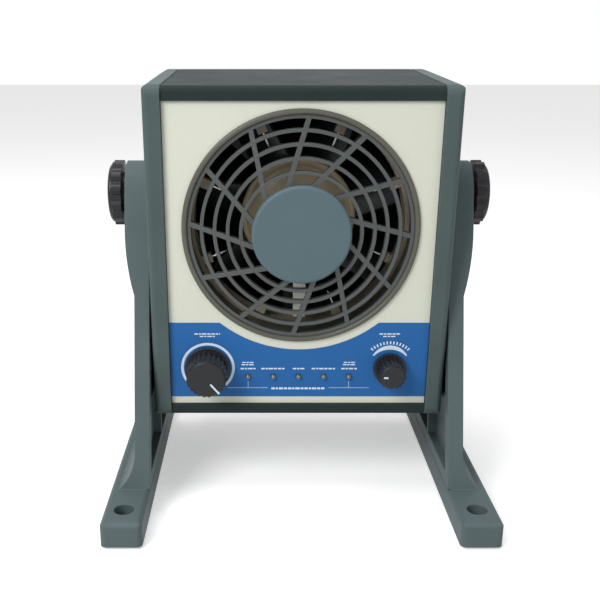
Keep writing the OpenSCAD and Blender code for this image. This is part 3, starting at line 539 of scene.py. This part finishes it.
def bristle_field():
    """Fine hairs: thin six-sided cones in even rows over the brush block, from its front to its back.

    Along a hair the height goes with the share of its length, and the sideways lean with the share squared.
    """
    rng = np.random.default_rng(7)
    local = points_from(FAN_SEAT, "brush_bristles")
    span = [(float((local @ way).min()) / MM, float((local @ way).max()) / MM) for way in (RIGHT, UP, OUT)]
    (left, right), (bottom, top), (back, front) = span
    columns = np.linspace(left + ROOT_MARGIN, right - ROOT_MARGIN, HAIR_COLUMNS)
    rows = np.linspace(bottom + ROOT_MARGIN, top - ROOT_MARGIN, HAIR_ROWS)
    x, y = np.meshgrid(columns, rows)
    root = np.stack([x.ravel(), y.ravel()], -1) + rng.uniform(-ROOT_STRAY, ROOT_STRAY, (x.size, 2))
    tip = root + rng.uniform(-TIP_STRAY, TIP_STRAY, root.shape)
    tip[:, 0] = np.clip(tip[:, 0], left + TIP_MARGIN, right - TIP_MARGIN)
    tip[:, 1] = np.clip(tip[:, 1], bottom + TIP_MARGIN, top - TIP_MARGIN)
    short = rng.uniform(0.0, MOST_SHORT, len(root))
    turn = np.radians(np.arange(HAIR_SIDES) * 360.0 / HAIR_SIDES)
    rings = []
    for share, radius in HAIR_STATIONS:
        centre = root + (tip - root) * share ** 2
        out = front + (back + short - front) * share
        across = centre[:, :1] + radius * np.cos(turn)
        above = centre[:, 1:] + radius * np.sin(turn)
        rings.append(on_plane(FAN_SEAT, across, above, np.broadcast_to(out[:, None], across.shape)))
    points = np.stack(rings, 1)
    hairs, levels, sides = points.shape[:3]
    base = np.arange(hairs)[:, None, None] * levels * sides
    level = np.arange(levels - 1)[None, :, None] * sides
    side = np.arange(sides)[None, None, :]
    after = (side + 1) % sides
    walls = np.stack([base + level + side, base + level + sides + side, base + level + sides + after,
                      base + level + after], -1).reshape(-1, 4)
    first = np.arange(hairs)[:, None] * levels * sides + np.arange(sides)[None, :]
    last = first[:, ::-1] + (levels - 1) * sides
    faces = walls.tolist() + first.tolist() + last.tolist()
    piece = make_mesh("brush_hairs", points, faces, "brush_plastic", "cleaning_brush", smooth=True)
    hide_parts("brush_bristles")


bristle_field()

# ---------------------------------------------------------------- face of the rotor

# Closed profile as radius and height over the rotor's front: a shallow dome with a groove near its rim
ROTOR_FACE = [(3.0, 0.1), (30.0, 0.1), (30.6, 0.4), (30.6, 1.2), (30.0, 1.7), (27.2, 2.0), (26.8, 1.5),
              (26.2, 1.5), (25.8, 2.1), (12.0, 2.6), (3.0, 2.6)]


def turned_disc(name, seat, profile, finish, body, steps=96):
    """A solid turned about the outward axis: radius and height of a closed profile, carried round."""
    profile = np.asarray(profile, dtype=float)
    turn = np.radians(np.arange(steps) * 360.0 / steps)
    radius, height = profile[:, 0][:, None], profile[:, 1][:, None]
    points = on_plane(seat, radius * np.cos(turn), radius * np.sin(turn), height + 0.0 * turn)
    count = len(profile)
    row, column = np.meshgrid(np.arange(count), np.arange(steps), indexing="ij")
    after_row, after_column = (row + 1) % count, (column + 1) % steps
    quads = np.stack([row * steps + column, row * steps + after_column, after_row * steps + after_column,
                      after_row * steps + column], -1).reshape(-1, 4)
    return make_mesh(name, points, quads.tolist(), finish, body, smooth=True)


rotor_front = float((points_from(FAN_SEAT, "fan_rotor") @ OUT).max()) / MM
turned_disc("rotor_face", FAN_SEAT, [(radius, rotor_front + rise) for radius, rise in ROTOR_FACE],
            "rotor_face", "fan")

# ---------------------------------------------------------------- floor, world and lamps

# Strength of the world as light on the object, and as what the camera, gloss and clear stuff see
WORLD_LIGHT, WORLD_SEEN = 0.45, 1.0

# Grey that the floor throws back, grey and glow that it shows to the camera, and half its side in metres
FLOOR_MATT, FLOOR_SEEN, FLOOR_GLOW = 0.62, 0.85, 0.42
FLOOR_HALF = 6.0


def pale_world():
    """Even grey light, and white where the camera, a gloss or clear stuff looks past the object."""
    world = bpy.data.worlds.new("studio")
    bpy.context.scene.world = world
    world.use_nodes = True
    tree = world.node_tree
    back = tree.nodes["Background"]
    path = tree.nodes.new("ShaderNodeLightPath")
    seen = path.outputs["Is Camera Ray"]
    for kind in ("Is Glossy Ray", "Is Transmission Ray"):
        larger = tree.nodes.new("ShaderNodeMath")
        larger.operation = "MAXIMUM"
        tree.links.new(seen, larger.inputs[0])
        tree.links.new(path.outputs[kind], larger.inputs[1])
        seen = larger.outputs[0]
    strength = tree.nodes.new("ShaderNodeMapRange")
    strength.inputs[3].default_value = WORLD_LIGHT
    strength.inputs[4].default_value = WORLD_SEEN
    tree.links.new(seen, strength.inputs[0])
    back.inputs["Color"].default_value = (1.0, 1.0, 1.0, 1.0)
    tree.links.new(strength.outputs[0], back.inputs["Strength"])


def pale_floor():
    """A plain floor: matt and pale for the light it throws back, and close to white where it is looked at."""
    g = Graph("pale_floor")
    tree, output = g.tree, g.tree.nodes["Material Output"]
    path = g.add("LightPath")
    seen = g.sum("MAXIMUM", path.outputs["Is Camera Ray"],
                 g.sum("MAXIMUM", path.outputs["Is Glossy Ray"], path.outputs["Is Transmission Ray"]))
    matt = g.add("BsdfDiffuse", {"Color": (FLOOR_MATT, FLOOR_MATT, FLOOR_MATT, 1.0)}).outputs[0]
    bright = g.add("BsdfDiffuse", {"Color": (FLOOR_SEEN, FLOOR_SEEN, FLOOR_SEEN, 1.0)}).outputs[0]
    glow = g.add("Emission", {"Color": (1, 1, 1, 1), "Strength": FLOOR_GLOW}).outputs[0]
    lit = g.add("AddShader", {0: bright, 1: glow}).outputs[0]
    tree.links.new(g.add("MixShader", {0: seen, 1: matt, 2: lit}).outputs[0], output.inputs["Surface"])
    mesh = bpy.data.meshes.new("floor")
    half = FLOOR_HALF
    corners = [(-half, -half, 0), (half, -half, 0), (half, half, 0), (-half, half, 0)]
    mesh.from_pydata(corners, [], [(0, 1, 2, 3)])
    mesh.materials.append(g.material)
    floor = bpy.data.objects.new("floor", mesh)
    bpy.context.scene.collection.objects.link(floor)


def soft_lamp(name, place, target, size, power):
    """A square area lamp that faces a point."""
    data = bpy.data.lights.new(name, "AREA")
    data.size = size
    data.energy = power
    lamp = bpy.data.objects.new(name, data)
    lamp.location = place
    way = np.array(target) - np.array(place)
    flat = math.hypot(way[0], way[1])
    lamp.rotation_euler = (math.atan2(flat, -way[2]), 0.0, math.atan2(-way[0], way[1]))
    bpy.context.scene.collection.objects.link(lamp)


pale_world()
pale_floor()
soft_lamp("key_lamp", place=(-0.7, -0.85, 0.85), target=(0.0, 0.0, 0.12), size=0.6, power=13.0)
soft_lamp("fill_lamp", place=(1.1, -0.9, 0.5), target=(0.0, 0.0, 0.12), size=0.8, power=2.0)
soft_lamp("top_lamp", place=(-0.2, 0.0, 1.4), target=(0.0, 0.0, 0.1), size=0.8, power=8.0)
